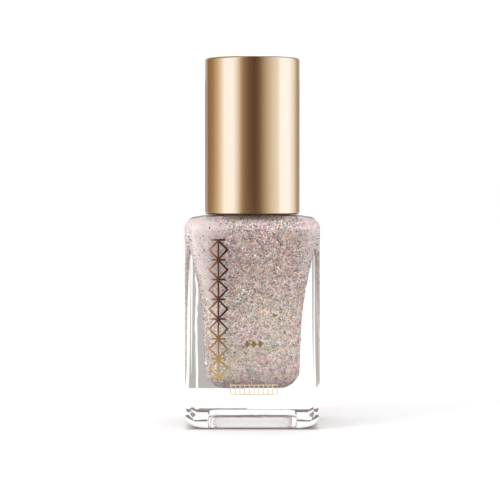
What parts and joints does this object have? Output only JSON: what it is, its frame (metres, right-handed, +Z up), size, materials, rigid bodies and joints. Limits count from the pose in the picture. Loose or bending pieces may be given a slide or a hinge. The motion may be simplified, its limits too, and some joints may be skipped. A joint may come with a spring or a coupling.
{
  "type": "nail polish bottle",
  "caption": "Heavy rectangular glass bottle of glitter nail lacquer with a tall round gold screw cap that carries the brush, which unscrews and draws out.",
  "frame": {"origin": "centre of the bottle's underside, on the plane it stands on", "axes": "+Z up along the neck and the brush, -Y towards the decorated front face, +X to the right seen from the front"},
  "size_m": [0.029, 0.023, 0.08],
  "materials": {
    "glass_bottle": "clear flint glass, fire polished",
    "polish_fill": "pearly pink-beige lacquer full of fine multicolour glitter",
    "base_label": "blank adhesive film",
    "foil_column": "hot-stamped gold foil",
    "foil_emblem": "hot-stamped gold foil",
    "foil_band": "hot-stamped gold foil",
    "mixing_ball_1": "polished stainless steel",
    "mixing_ball_2": "polished stainless steel",
    "seal_washer": "soft polyethylene",
    "foam_liner": "closed-cell foam",
    "overcap": "satin gold anodised",
    "inner_cap": "natural polypropylene",
    "stem": "moulded polyethylene",
    "tuft_anchor": "brass wire",
    "bristles": "nylon filament"
  },
  "bodies": {
    "bottle": {"glass_bottle": "glass_bottle", "polish_fill": "polish_fill", "base_label": "base_label", "foil_column": "foil_column", "foil_emblem": "foil_emblem", "foil_band": "foil_band"},
    "ball_1": {"mixing_ball_1": "mixing_ball_1"},
    "ball_2": {"mixing_ball_2": "mixing_ball_2"},
    "washer": {"seal_washer": "seal_washer"},
    "liner": {"foam_liner": "foam_liner"},
    "closure": {"overcap": "overcap", "inner_cap": "inner_cap", "stem": "stem", "tuft_anchor": "tuft_anchor", "bristles": "bristles"}
  },
  "joints": [
    {"name": "draw_out", "type": "slide", "parent": "bottle", "child": "washer", "axis": [0, 0, 1], "range_m": [0, 0.062]},
    {"name": "thread_rise", "type": "slide", "parent": "washer", "child": "liner", "axis": [0, 0, 1], "range_m": [0, 0.00371]},
    {"name": "cap_turn", "type": "hinge", "parent": "liner", "child": "closure", "pos_m": [0, 0, 0.063], "axis": [0, 0, 1], "range_deg": [0, 630]},
    {"name": "ball_1_roll", "type": "slide", "parent": "bottle", "child": "ball_1", "axis": [1, 0, 0], "range_m": [-0.0016, 0.0016]},
    {"name": "ball_2_roll", "type": "slide", "parent": "bottle", "child": "ball_2", "axis": [1, 0, 0], "range_m": [-0.0016, 0.0016]}
  ],
  "couplings": [
    {"joint": "thread_rise", "follows": "cap_turn", "m_per_rad": 0.00033688}
  ]
}
